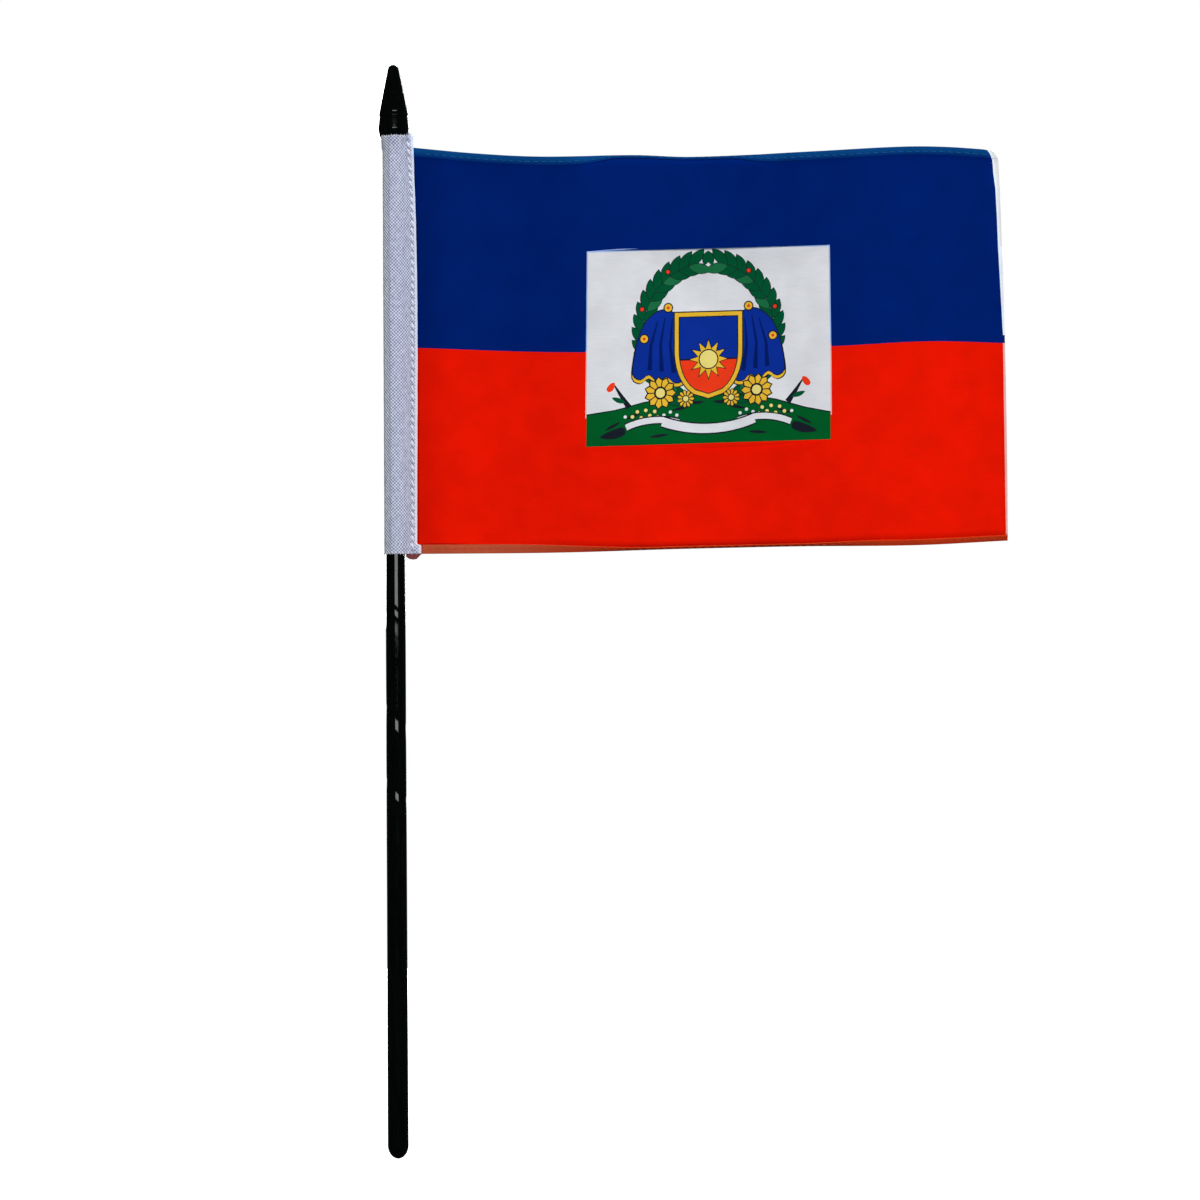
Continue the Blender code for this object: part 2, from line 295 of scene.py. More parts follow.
def turned_piece(name, profile, sides=96, uneven=lambda angle, z: 0.0):
    """A solid turned round Z from a (radius, height) profile whose two ends are on the axis."""
    verts = [(0.0, 0.0, profile[0][1])]
    uvs = [(0.0, profile[0][1])]
    for r, z in profile[1:-1]:
        for k in range(sides):
            angle = 2 * math.pi * k / sides
            out = r + uneven(angle, z)
            verts.append((out * math.cos(angle), out * math.sin(angle), z))
            uvs.append((angle * r, z))
    verts.append((0.0, 0.0, profile[-1][1]))
    uvs.append((0.0, profile[-1][1]))
    rings = len(profile) - 2
    faces = [(0, 1 + (k + 1) % sides, 1 + k) for k in range(sides)]
    faces += grid_faces(rings, sides, 1)
    last = 1 + (rings - 1) * sides
    faces += [(len(verts) - 1, last + k, last + (k + 1) % sides) for k in range(sides)]
    obj = new_piece(name, verts, faces, uvs)
    face_outwards(obj)
    obj.data.set_sharp_from_angle(angle=math.radians(50))
    return obj


# ---- node materials ----

class Looks:
    """A Principled material and short ways to add nodes to it."""

    def __init__(self, name, roughness, colour=(0.8, 0.8, 0.8), **fixed):
        self.material = bpy.data.materials.new(name)
        self.material.use_nodes = True
        self.tree = self.material.node_tree
        self.shader = self.tree.nodes["Principled BSDF"]
        self.set(Base_Color=colour, Roughness=roughness, **fixed)

    def put(self, socket, value):
        """Give an input its value: an output to link, a number, or a colour or vector."""
        if isinstance(value, bpy.types.NodeSocket):
            self.tree.links.new(value, socket)
        elif socket.type == "RGBA":
            socket.default_value = (*value[:3], 1.0)
        else:
            socket.default_value = value

    def set(self, **values):
        """Give the shader's inputs their values; an underscore stands for a space."""
        for name, value in values.items():
            self.put(self.shader.inputs[name.replace("_", " ")], value)
        return self.material

    def node(self, kind, *values, **settings):
        """Add a node; values go to its inputs in order, and None leaves one as it is."""
        node = self.tree.nodes.new(kind)
        for key, value in settings.items():
            setattr(node, key, value)
        for socket, value in zip(node.inputs, values):
            if value is not None:
                self.put(socket, value)
        return node

    def maths(self, operation, a, b=0.0, c=0.0):
        return self.node("ShaderNodeMath", a, b, c, operation=operation).outputs[0]

    def times(self, a, b):
        return self.maths("MULTIPLY", a, b)

    def plus(self, a, b):
        return self.maths("ADD", a, b)

    def place(self, scale=(1.0, 1.0, 1.0)):
        """The point on the object, in millimetres, scaled along each axis."""
        place = self.node("ShaderNodeTexCoord").outputs["Object"]
        scale = tuple(s / MM for s in scale)
        return self.node("ShaderNodeVectorMath", place, scale, operation="MULTIPLY").outputs[0]

    def noise(self, vector, scale, detail=2.0, roughness=0.5):
        node = self.node("ShaderNodeTexNoise", vector, None, scale, detail, roughness)
        return node.outputs["Fac"]

    def remap(self, value, low, high, new_low, new_high):
        return self.node("ShaderNodeMapRange", value, low, high, new_low, new_high).outputs[0]

    def attribute(self, name, output="Fac"):
        return self.node("ShaderNodeAttribute", attribute_name=name).outputs[output]

    def uv(self):
        """The two coordinates along the yarns, in millimetres."""
        uv = self.node("ShaderNodeUVMap", uv_map="cloth_mm").outputs[0]
        split = self.node("ShaderNodeSeparateXYZ", uv)
        return split.outputs[0], split.outputs[1]

    def mix(self, share, a, b):
        """Mix two colours, each a tuple or a socket."""
        node = self.node("ShaderNodeMix", share, data_type="RGBA")
        self.put(node.inputs[6], a)
        self.put(node.inputs[7], b)
        return node.outputs[2]

    def darken(self, colour, share):
        """The colour times a grey value."""
        grey = self.node("ShaderNodeCombineXYZ", share, share, share).outputs[0]
        return self.node("ShaderNodeVectorMath", colour, grey, operation="MULTIPLY").outputs[0]

    def weave(self, pitch):
        """Height of a plain weave, from 0 between the yarns to 1 on top of them."""
        u, v = self.uv()
        sin_u, sin_v = (self.maths("SINE", self.times(along, math.pi / pitch))
                        for along in (u, v))
        over = self.times(self.times(sin_u, sin_v), 0.4)
        warp = self.times(self.maths("ABSOLUTE", sin_u), self.plus(over, 0.6))
        weft = self.times(self.maths("ABSOLUTE", sin_v), self.maths("SUBTRACT", 0.6, over))
        return self.maths("MAXIMUM", warp, weft)

    def raise_by(self, height, distance_mm, strength):
        """A bump from a height field whose unit is distance_mm."""
        node = self.node("ShaderNodeBump", strength, distance_mm * MM)
        self.put(node.inputs["Height"], height)
        return node.outputs[0]


def staff_plastic():
    """Glossy black plastic, a little uneven from its mould, with fine rubbed streaks."""
    looks = Looks("staff_plastic", 0.06, (0.0008, 0.0016, 0.0014), Specular_IOR_Level=0.15)
    streaks = looks.noise(looks.place((1.0, 1.0, 0.06)), 2.6, 4.0, 0.6)
    grain = looks.noise(looks.place(), 0.9, 2.0)
    colour = looks.mix(looks.remap(streaks, 0.45, 0.75, 0.0, 1.0),
                       (0.0005, 0.0012, 0.0010), (0.0022, 0.0034, 0.0032))
    gloss = looks.remap(looks.times(streaks, grain), 0.15, 0.4, 0.035, 0.085)
    relief = looks.raise_by(grain, 0.001, 0.3)
    return looks.set(Base_Color=colour, Roughness=gloss, Normal=relief)


def printed_cloth():
    """Thin polyester: the dye sits in the yarns, so the print is a little uneven."""
    looks = Looks("printed_cloth", 0.82, Specular_IOR_Level=0.0)
    weave = looks.weave(0.26)
    yarns = looks.noise(looks.place((0.25, 1.0, 3.5)), 1.1, 3.0, 0.6)
    blotches = looks.noise(looks.place(), 0.12, 2.0)
    grey = looks.times(looks.remap(weave, 0.1, 0.9, 0.86, 1.06),
                       looks.remap(yarns, 0.3, 0.7, 0.97, 1.03))
    grey = looks.times(grey, looks.remap(blotches, 0.35, 0.65, 0.95, 1.05))
    colour = looks.darken(looks.attribute("print", "Color"), grey)
    rough = looks.remap(weave, 0.0, 1.0, 0.9, 0.72)
    relief = looks.raise_by(weave, 0.03, 0.6)
    return looks.set(Base_Color=colour, Roughness=rough, Normal=relief)


def woven_tape():
    """Coarse white tape: dark gaps between slanting yarns, a denser selvage, needle holes, painted
    shade along the crease and painted light in the turned fold.
    """
    looks = Looks("sleeve_tape", 0.85, Specular_IOR_Level=0.1)
    u, v = looks.uv()
    yarn_pitch = 0.84
    turn = 2 * math.pi / yarn_pitch
    falling = looks.maths("SINE", looks.times(looks.maths("SUBTRACT", u, v), turn))
    rising = looks.maths("SINE", looks.times(looks.plus(u, v), turn))
    fold = looks.attribute("fold")
    share = looks.remap(fold, 0.0, 1.0, 0.52, 0.85)
    crossed = looks.plus(looks.times(falling, share),
                         looks.times(rising, looks.maths("SUBTRACT", 1.0, share)))
    slubs = looks.noise(looks.place((1.0, 1.0, 0.6)), 1.5, 3.0, 0.6)
    shade = looks.plus(crossed, looks.remap(slubs, 0.3, 0.7, -0.3, 0.3))
    # Painted light: in the turned fold strip the light yarn colour is lighter and less blue, lifting
    # that strip's shade.
    light = looks.mix(fold, (0.74, 0.78, 0.97), (0.82, 0.88, 0.97))
    colour = looks.mix(looks.remap(shade, -0.9, 0.9, 0.0, 1.0), (0.125, 0.150, 0.240), light)
    low_z = looks.node("ShaderNodeSeparateXYZ", looks.place()).outputs[2]
    bleed = looks.mix(looks.remap(low_z, 199.0, 205.0, 0.0, 1.0),
                      (0.80, 0.64, 0.71), (0.56, 0.67, 0.90))
    edge = looks.mix(looks.remap(shade, -1.0, 1.0, 0.0, 0.6), bleed, (0.90, 0.90, 0.96))
    colour = looks.mix(looks.attribute("selvage"), colour, edge)
    # Dark needle holes, and a painted shade line along the crease of the turned side, both from the
    # hole attribute.
    colour = looks.mix(looks.attribute("hole"), colour, (0.15, 0.15, 0.23))
    relief = looks.raise_by(crossed, 0.05, 0.5)
    return looks.set(Base_Color=colour, Normal=relief)


def spun_thread(name, dark, light):
    """Sewing thread: two plies twisted together, and a dull sheen."""
    looks = Looks(name, 0.6, Specular_IOR_Level=0.2)
    u, v = looks.uv()
    twist_pitch = 0.55
    turns = looks.plus(looks.times(u, 2 * math.pi / twist_pitch), looks.times(v, 4 * math.pi))
    twist = looks.remap(looks.maths("SINE", turns), -1.0, 1.0, 0.0, 1.0)
    fuzz = looks.noise(looks.place(), 6.0, 2.0)
    colour = looks.mix(looks.times(twist, looks.remap(fuzz, 0.3, 0.7, 0.7, 1.0)),
                       dark, light)
    return looks.set(Base_Color=colour, Normal=looks.raise_by(twist, 0.03, 0.6))


# ---- staff and finial ----

def staff_radius(z):
    """A straight taper above the dome of the foot."""
    share = (z - STAFF_DOME) / (STAFF_TOP - STAFF_DOME)
    return STAFF_FOOT_RADIUS + (STAFF_TOP_RADIUS - STAFF_FOOT_RADIUS) * share


# How far the moulded surface lies from a straight taper: height, distance outwards
UNEVEN_LINE = ((60.0, 0.0), (89.0, 0.004), (92.4, -0.080), (93.2, 0.0), (106.5, 0.004),
               (110.6, -0.075), (111.6, 0.0), (129.5, 0.047), (134.4, 0.030), (135.6, 0.042),
               (137.3, 0.024), (138.2, 0.034), (146.0, -0.015), (152.0, -0.030), (160.0, -0.030),
               (175.0, 0.0))
UNEVEN_SLANT = 2.5


def staff_uneven(angle, z):
    slanted = z + UNEVEN_SLANT * math.cos(angle)
    uneven = smooth_curve(UNEVEN_LINE, slanted)
    return 0.003 * wander(3.1, math.cos(angle), math.sin(angle), z * 0.12) + uneven


def make_staff(material):
    profile = [(0.0, STAFF_TOP), (STAFF_TOP_RADIUS - 0.3, STAFF_TOP),
               (STAFF_TOP_RADIUS, STAFF_TOP - 0.3)]
    profile += [(staff_radius(z), z) for z in steps(STAFF_TOP - 1, STAFF_DOME, 0.4)[:-1]]
    for angle in spread(0.0, math.pi / 2, 20)[:-1]:
        profile.append((STAFF_FOOT_RADIUS * math.cos(angle), STAFF_DOME * (1 - math.sin(angle))))
    profile.append((0.0, 0.0))
    staff = turned_piece("flag_staff", profile, 96, staff_uneven)
    staff.data.materials.append(material)
    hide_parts("staff")
    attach(staff, "staff")


def make_finial(material):
    """A cone with a groove and a barrel collar, hollow below for the staff's end."""
    tip_radius, cone_radius, cone_base = 1.45, 3.7, 260.9
    slope = math.atan2(cone_radius - tip_radius, FINIAL_TIP - cone_base)
    profile = [(0.0, FINIAL_TIP)]
    for angle in spread(math.pi / 2, slope, 14)[1:]:
        profile.append((tip_radius * math.cos(angle),
                        FINIAL_TIP - tip_radius * (1 - math.sin(angle))))
    ring_z = 262.05
    ring_r = cone_radius - (ring_z - cone_base) * math.tan(slope)
    profile += filleted([
        profile[-1] + (0,),
        (ring_r, ring_z, 0.03),
        (ring_r + 0.05, ring_z - 0.06, 0.04),
        (ring_r + 0.05, ring_z - 0.28, 0.10),
        (cone_radius, cone_base, 0.05),
        (3.50, 260.35, 0.03),
        (3.62, 260.05, 0.05),
        (COLLAR_RADIUS - 0.03, 257.86, 0.12),
        (COLLAR_RADIUS, 257.74, 0.05),
        (COLLAR_RADIUS, 257.56, 0.08),
        (COLLAR_RADIUS - 0.10, 256.45, 0.35),
        (FINIAL_FOOT_RADIUS, FINIAL_BOTTOM, 0.12),
        (2.38, FINIAL_BOTTOM, 0.05),
        (2.36, 261.8, 0.0),
        (0.0, 261.8, 0),
    ])[1:]
    finial = turned_piece("flag_finial", profile, 96,
                          lambda a, z: 0.01 * wander(8.4, math.cos(a), math.sin(a), z * 0.3))
    finial.data.materials.append(material)
    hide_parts("finial")
    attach(finial, "staff")


# ---- the shape of the hung cloth ----

def hem_section(v):
    """Beyond the fold line, at v along the cloth: how far out, how deep, and the turn so far.

    The cloth turns towards the front, runs back over the panel, and its raw edge turns under.
    """
    turn, under = HEM_TURN, HEM_UNDER_TURN
    if v <= math.pi * turn:
        angle = v / turn
        return turn * math.sin(angle), turn * (math.cos(angle) - 1), angle
    v -= math.pi * turn
    if v <= HEM_WIDTH:
        return -v, -2 * turn, math.pi
    v -= HEM_WIDTH
    if v <= math.pi * under:
        angle = math.pi + v / under
        return -HEM_WIDTH + under * math.sin(angle), -2 * turn + under * (math.cos(angle) + 1), angle
    v -= math.pi * under
    return -HEM_WIDTH + v, -2 * turn + 2 * under, 2 * math.pi


def roll_angle(s, top):
    """How far the hemmed edge has rolled backwards at s."""
    if top:
        return math.radians(72) * ramp(s, 42, 58) * (1 - ramp(s, 84, 100)) + 0.001
    return math.radians(76) * ramp(s, 18, 66) * (1 - 0.3 * ramp(s, 100, 122)) + 0.001


def rolled(q, depth, angle):
    """Bend the last band of the cloth backwards: q from the band's start, depth behind it."""
    if q <= 0:
        return q, depth
    radius = ROLL_BEND / angle
    turn = angle * min(q / ROLL_BEND, 1.0)
    rest = max(q - ROLL_BEND, 0.0)
    out = radius * math.sin(turn) + rest * math.cos(turn) - depth * math.sin(turn)
    back = radius * (1 - math.cos(turn)) + rest * math.sin(turn) + depth * math.cos(turn)
    return out, back


def rolled_loss(angle):
    """How much lower the edge's outline is for the roll."""
    reach = ROLL_BAND + HEM_TURN
    heights = [rolled(q, -depth, angle)[0] for q in (reach, reach - 0.5) for depth in (0, HEM_TURN)]
    return reach - max(heights)


def cloth_place(s, q, depth):
    """A point of the hung cloth: q up it, depth behind its middle surface, both unrolled."""
    if q > 50:
        angle = roll_angle(s, True)
        start = FOLD_TOP - ROLL_BAND
        q, depth = rolled(q - start, depth, angle)
        q += start
    else:
        angle = roll_angle(s, False)
        q, depth = rolled(ROLL_BAND - q, depth, angle)
        q = ROLL_BAND - q
    top = smooth_curve(TOP_EDGE, s) + rolled_loss(roll_angle(s, True))
    bottom = smooth_curve(BOTTOM_EDGE, s) - rolled_loss(roll_angle(s, False))
    share = min(max(q / FOLD_TOP, 0.0), 1.0)
    z = parabola(bottom, smooth_curve(MIDDLE_LINE, s), top, share) + (q - share * FOLD_TOP)
    fly = parabola(*FLY_X, share)
    pull = (fly - CLOTH_START) / (FLY_X[1] - CLOTH_START)
    x = CLOTH_START + (s - CLOTH_START) * pull
    fade = ramp(s, FOLD_X, WAVE_FADE_END)
    turn = 2 * math.pi * (s - FOLD_X) / WAVE_LENGTH + WAVE_LEAN * (share - 0.5)
    wave = WAVE_DEPTH * fade * math.sin(turn)
    free = ramp(s, 6.5, 16)
    crumple = 0.16 * wander(1.7, s * 0.045, q * 0.05) + 0.05 * wander(6.3, s * 0.16, q * 0.2)
    near_fold = bump(q, HEM_STITCH_Q, 2.2) + bump(q, FOLD_TOP - HEM_STITCH_Q, 2.2)
    pucker = free * 0.035 * near_fold * math.cos(2 * math.pi * s / HEM_STITCH_PITCH)
    # The top corner at the fly is drawn in; the bottom corner at the hoist hangs down and in.
    corner = ramp(s, CLOTH_END - 4.5, CLOTH_END) * max(q - (FOLD_TOP - 3.0), 0.0) ** 2
    x -= 0.16 * corner
    low = 1 - ramp(q, 0.0, 3.5)
    z -= 1.4 * low * (0.45 + 0.55 * ramp(s, CLOTH_START, 4.4)) * (1 - ramp(s, 5.0, 6.7))
    x -= 0.85 * low * (1 - ramp(s, CLOTH_START, 5.4))
    fly_curl = 0.9 * ramp(s, CLOTH_END - 5, CLOTH_END) ** 2 * ramp(q, 40, 100)
    return x, wave + depth + free * crumple + pucker + fly_curl, z


def sheet_point(s, w, offset):
    """A point at (s, w) of the cut cloth, offset along its thickness towards its back."""
    top = w > FOLD_TOP
    v = w - FOLD_TOP if top else -w
    if v <= 0:
        return cloth_place(s, w, offset)
    out, depth, angle = hem_section(v)
    out += offset * math.sin(angle)
    depth += offset * math.cos(angle)
    return cloth_place(s, FOLD_TOP + out if top else -out, depth)


def sheet_normal(s, w, step=0.03):
    """The direction out of the cloth's back at a point of the cut cloth."""
    along = Vector(sheet_point(s + step, w, 0)) - Vector(sheet_point(s - step, w, 0))
    up = Vector(sheet_point(s, w + step, 0)) - Vector(sheet_point(s, w - step, 0))
    return up.cross(along).normalized()


# ---- the print ----

# Linear colours of the dyes: on the printed face, and where they show on the reverse. The shadow
# colours and the maroon are painted shade, not dyes.
PRINT_COLOURS = {
    "blue": ((0.0003, 0.0140, 0.150), (0.003, 0.058, 0.215)),
    "red": ((0.820, 0.0080, 0.0008), (0.80, 0.058, 0.012)),
    "blue_shadow": ((0.0003, 0.0080, 0.090), (0.003, 0.058, 0.215)),
    "red_shadow": ((0.420, 0.0040, 0.0008), (0.80, 0.058, 0.012)),
    "maroon_shadow": ((0.20, 0.055, 0.058), (0.20, 0.055, 0.058)),
    "white": ((0.715, 0.732, 0.772), (0.66, 0.68, 0.72)),
    "pale_blue": ((0.33, 0.48, 0.84), (0.30, 0.42, 0.70)),
    "pale_red": ((0.86, 0.45, 0.42), (0.75, 0.36, 0.30)),
    "bare": ((0.74, 0.77, 0.77), (0.74, 0.77, 0.77)),
    "bare_edge": ((0.80, 0.88, 0.98), (0.76, 0.82, 0.92)),
    "green": ((0.0010, 0.100, 0.020), (0.02, 0.13, 0.05)),
    "leaf": ((0.0012, 0.085, 0.030), (0.02, 0.12, 0.06)),
    "leaf_light": ((0.012, 0.150, 0.055), (0.03, 0.16, 0.08)),
    "ink": ((0.010, 0.014, 0.022), (0.05, 0.06, 0.08)),
    "gold": ((0.78, 0.47, 0.035), (0.60, 0.40, 0.08)),
    "straw": ((0.80, 0.68, 0.20), (0.62, 0.52, 0.22)),
    "drape": ((0.004, 0.028, 0.300), (0.03, 0.07, 0.32)),
    "drape_fold": ((0.002, 0.012, 0.120), (0.02, 0.05, 0.20)),
    "scarlet": ((0.84, 0.045, 0.012), (0.56, 0.09, 0.05)),
}

# The reverse of the red, where the rolled bottom hem shows it near the hoist: partly the dye showing
# through, partly painted shade of the hem's underside
RED_REVERSE_SHADED = Vector((0.46, 0.082, 0.036))

# The white field's corners on the cut cloth, and its size in its own coordinates (a, b)
FIELD_CORNERS = ((47.7, 26.4), (108.7, 27.0), (109.1, 75.4), (48.7, 75.2))
FIELD_WIDTH = 60.5
FIELD_HEIGHT = 48.0
CENTRE = FIELD_WIDTH / 2
prints = []


def field_point(a, b):
    """Where a point of the white field lies on the cut cloth."""
    share_a, share_b = a / FIELD_WIDTH, b / FIELD_HEIGHT
    low_left, low_right, high_right, high_left = (Vector(c) for c in FIELD_CORNERS)
    low = low_left.lerp(low_right, share_a)
    high = high_left.lerp(high_right, share_a)
    return tuple(low.lerp(high, share_b))


def print_cloth(colour, outline):
    """Print an outline given on the cut cloth, over what is there."""
    area = sum(a[0] * b[1] - b[0] * a[1] for a, b in zip(outline, outline[1:] + outline[:1]))
    prints.append((colour, outline if area > 0 else outline[::-1]))


def paint(colour, outline):
    """Print an outline given in the white field's coordinates."""
    print_cloth(colour, [field_point(a, b) for a, b in outline])


def paint_both(colour, outline):
    """Print an outline and its mirror image about the field's centre line."""
    paint(colour, outline)
    paint(colour, [(2 * CENTRE - a, b) for a, b in outline])


def box(low_a, low_b, high_a, high_b):
    return [(low_a, low_b), (high_a, low_b), (high_a, high_b), (low_a, high_b)]


def round_from(a, b, radius_a, radius_b, angle):
    """A point of the circle or ellipse about (a, b)."""
    return a + radius_a * math.cos(angle), b + radius_b * math.sin(angle)


def disc(a, b, radius, points):
    return [round_from(a, b, radius, radius, 2 * math.pi * k / points) for k in range(points)]


def star(a, b, inner, outer, rays):
    """A star, or with a small difference of radii a scalloped disc."""
    outline = []
    for k in range(2 * rays):
        radius = outer if k % 2 == 0 else inner
        angle = math.pi * k / rays
        outline.append(round_from(a, b, radius, radius, angle))
    return outline


def lens(a, b, angle, length, width, points=7):
    """A pointed leaf from its base point."""
    up = [(t * length, width / 2 * math.sin(math.pi * t) ** 0.8) for t in spread(0, 1, points)]
    outline = up + [(x, -y) for x, y in reversed(up[1:-1])]
    cos, sin = math.cos(angle), math.sin(angle)
    return [(a + x * cos - y * sin, b + x * sin + y * cos) for x, y in outline]


def loop(points, each=4):
    """A smooth closed outline through a few points."""
    outline = []
    count = len(points)
    for i in range(count):
        around = [Vector(points[(i + k - 1) % count]) for k in range(4)]
        outline += [tuple(spline(*around, t)) for t in spread(0.0, 1.0, each)[:-1]]
    return outline


def band(points, width, end_width=None):
    """A stroke along points, which may taper to its end width."""
    left, right = [], []
    end_width = width if end_width is None else end_width
    for i, point in enumerate(points):
        before, after = points[max(i - 1, 0)], points[min(i + 1, len(points) - 1)]
        along = (Vector(after) - Vector(before)).normalized()
        half = (width + (end_width - width) * i / (len(points) - 1)) / 2
        left.append((point[0] - along.y * half, point[1] + along.x * half))
        right.append((point[0] + along.y * half, point[1] - along.x * half))
    return left + right[::-1]


def grown(outline, by):
    """An outline pushed outwards from its middle by about a distance."""
    middle = sum((Vector(p) for p in outline), Vector((0, 0))) / len(outline)
    pushed = []
    for point in outline:
        away = Vector(point) - middle
        pushed.append(tuple(Vector(point) + away.normalized() * by))
    return pushed


def paint_dot(a, b, radius, rim, colour, points):
    """A round spot with a dark rim, on both sides of the emblem."""
    paint_both("ink", disc(a, b, radius + rim, points))
    paint_both(colour, disc(a, b, radius, points))


def paint_leaf(a, b, angle, length, width, colour):
    """A leaf with a dark rim, on both sides of the emblem."""
    rim = 0.16
    cos, sin = math.cos(angle), math.sin(angle)
    base = (a - rim * cos, b - rim * sin)
    paint_both("ink", lens(*base, angle, length + 2.4 * rim, width + 2 * rim))
    paint_both(colour, lens(a, b, angle, length, width))


def arc(a, b, radius_a, radius_b, start, end, count):
    return [round_from(a, b, radius_a, radius_b, math.radians(t))
            for t in spread(start, end, count)]


def shield(half_width, top, height, start=0.0, count=10):
    """The outline of a shield below a share of its height, with straight upper sides."""
    straight = 0.42

    def half(share):
        if share <= straight:
            return half_width
        return half_width * math.sqrt(max(1 - ((share - straight) / (1 - straight)) ** 2.2, 0))

    shares = [start] + [share for share in spread(straight, 1.0, count) if share > start]
    left = [(CENTRE - half(share), top - height * share) for share in shares]
    right = [(CENTRE + half(share), top - height * share) for share in shares[:-1]]
    return left + right[::-1]


def paint_mound():
    """Green ground below a low crest, with dark tufts."""
    crest = [(0, 7.6), (7, 8.8), (14, 10.6), (22, 11.9), (30, 12.3), (39, 11.7), (47, 10.2),
             (54, 8.0), (FIELD_WIDTH, 6.5)]
    paint("ink", band([(a, b + 0.1) for a, b in crest], 0.42))
    paint("green", [(0, 0), (FIELD_WIDTH, 0)] + crest[::-1])
    for a, b, tilt, length in ((4.5, 4.0, 0.5, 4.6), (9.5, 6.8, 0.35, 4.2), (15.5, 2.4, 0.1, 5.0),
                               (21.0, 8.6, 0.2, 4.6), (25.5, 10.2, 0.1, 3.8)):
        paint_both("ink", lens(a, b, tilt, length, 0.75))


def paint_wreath():
    """Two leafy branches, which rise from the mound and nearly meet at the top."""
    centre_b, radius_a, radius_b = 27.3, 16.2, 17.2
    stem = arc(CENTRE, centre_b, radius_a, radius_b, 262, 103, 26)
    paint_both("ink", band(stem, 0.62, 0.3))
    leaves = 17
    for k in range(leaves):
        share = (k + 0.6) / leaves
        turn = math.radians(255 + (104 - 255) * share)
        a, b = round_from(CENTRE, centre_b, radius_a, radius_b, turn)
        along = math.atan2(-radius_b * math.cos(turn), radius_a * math.sin(turn))
        length = 4.4 + 1.3 * share
        for side, colour in ((0.52, "leaf"), (-0.50, "leaf_light" if k % 3 == 1 else "leaf")):
            paint_leaf(a, b, along + side, length, 1.9 + 0.5 * share, colour)
        if k % 4 == 2:
            out = Vector((a - CENTRE, b - centre_b)).normalized()
            paint_dot(a + out.x * 1.4, b + out.y * 1.4, 0.5, 0.22, "scarlet", 10)
    paint_leaf(CENTRE - 1.0, centre_b + radius_b - 0.4, math.radians(74), 3.4, 1.7, "leaf")


def paint_drapes():
    """Plain cloth drawn up on each side of the shield, with a fringe along its foot."""
    inner, widen, fringe = 24.6, 1.2, 0.75
    drape = [(23.4, 31.0), (20.2, 33.4), (16.9, 31.4), (14.9, 27.4), (13.9, 22.6), (13.5, 17.6),
             (15.2, 16.2), (17.0, 17.4), (18.8, 15.6), (20.6, 16.8), (22.4, 15.2), (24.4, 16.6),
             (inner, 24.0)]
    outline = loop([(inner - widen * (inner - a), b) for a, b in drape], 3)
    lowered = [(a, b - fringe) for a, b in outline]
    paint_both("ink", grown(lowered, 0.3))
    paint_both("gold", lowered)
    paint_both("ink", grown(outline, 0.05))
    paint_both("drape", grown(outline, -0.22))
    for start, end in (((17.6, 30.6), (15.6, 18.6)), ((19.4, 31.4), (18.6, 18.2)),
                       ((21.2, 31.0), (21.6, 17.8))):
        middle = ((start[0] + end[0]) / 2 - 0.7, (start[1] + end[1]) / 2)
        paint_both("drape_fold", band([start, middle, end], 0.25, 1.1))
    for a, b in ((20.2, 33.7), (14.2, 26.2)):
        paint_dot(a, b, 0.95, 0.3, "gold", 12)
        paint_both("scarlet", disc(a, b, 0.4, 8))


def paint_shield():
    """A plain shield with gold and dark rims, parted across, and a gold sun on the line."""
    top, height, half_width = 32.4, 21.0, 8.4
    boundary = 20.9
    for colour, inset in (("ink", -0.3), ("gold", 0.0), ("ink", 0.95), ("drape", 1.2)):
        paint(colour, shield(half_width - inset, top - inset, height - 2 * inset))
    inner = (half_width - 1.2, top - 1.2, height - 2.4)
    paint("scarlet", shield(*inner, start=(inner[1] - boundary) / inner[2]))
    paint("ink", band([(CENTRE - 7.1, boundary), (CENTRE + 7.1, boundary)], 0.4))
    paint("ink", star(CENTRE, boundary, 2.9, 5.2, 12))
    paint("gold", star(CENTRE, boundary, 2.6, 4.6, 12))
    paint("ink", disc(CENTRE, boundary, 2.5, 20))
    paint("straw", disc(CENTRE, boundary, 2.2, 20))


def paint_rosettes():
    """A large and a small gold flower on each side of the shield's foot."""
    petals = 11
    for a, b, radius in ((18.3, 13.0, 3.9), (24.6, 11.4, 2.2)):
        paint_both("ink", star(a, b, radius * 0.86, radius * 1.06, petals))
        paint_both("gold", star(a, b, radius * 0.76, radius * 0.96, petals))
        for k in range(petals):
            angle = 2 * math.pi * (k + 0.5) / petals
            gap = [round_from(a, b, radius * share, radius * share, angle)
                   for share in (0.38, 0.86)]
            paint_both("ink", band(gap, 0.2, 0.34))
        paint_both("ink", disc(a, b, radius * 0.42, 14))
        paint_both("straw", disc(a, b, radius * 0.30, 12))


def paint_small_flowers():
    """Dots of flowers on the mound, and a red bud on a stem at each far side."""
    for a, b in ((11.4, 7.4), (12.6, 8.6), (13.6, 7.1), (14.7, 8.9), (15.7, 7.6), (16.9, 8.6),
                 (17.7, 7.2)):
        paint_dot(a, b, 0.46, 0.16, "straw", 9)
    for a, b in ((19.2, 7.6), (20.8, 8.3), (22.4, 7.5), (9.6, 7.4)):
        paint_both("white", disc(a, b, 0.42, 8))
    stem = [(10.6, 9.6), (8.6, 12.4), (6.9, 15.0)]
    paint_both("ink", band(stem, 1.5, 0.35))
    paint_both("leaf", lens(9.6, 10.8, math.radians(160), 3.6, 1.2))
    paint_both("scarlet", loop([(7.0, 15.6), (5.9, 15.5), (4.9, 14.2), (5.5, 13.4), (6.6, 14.0)], 3))


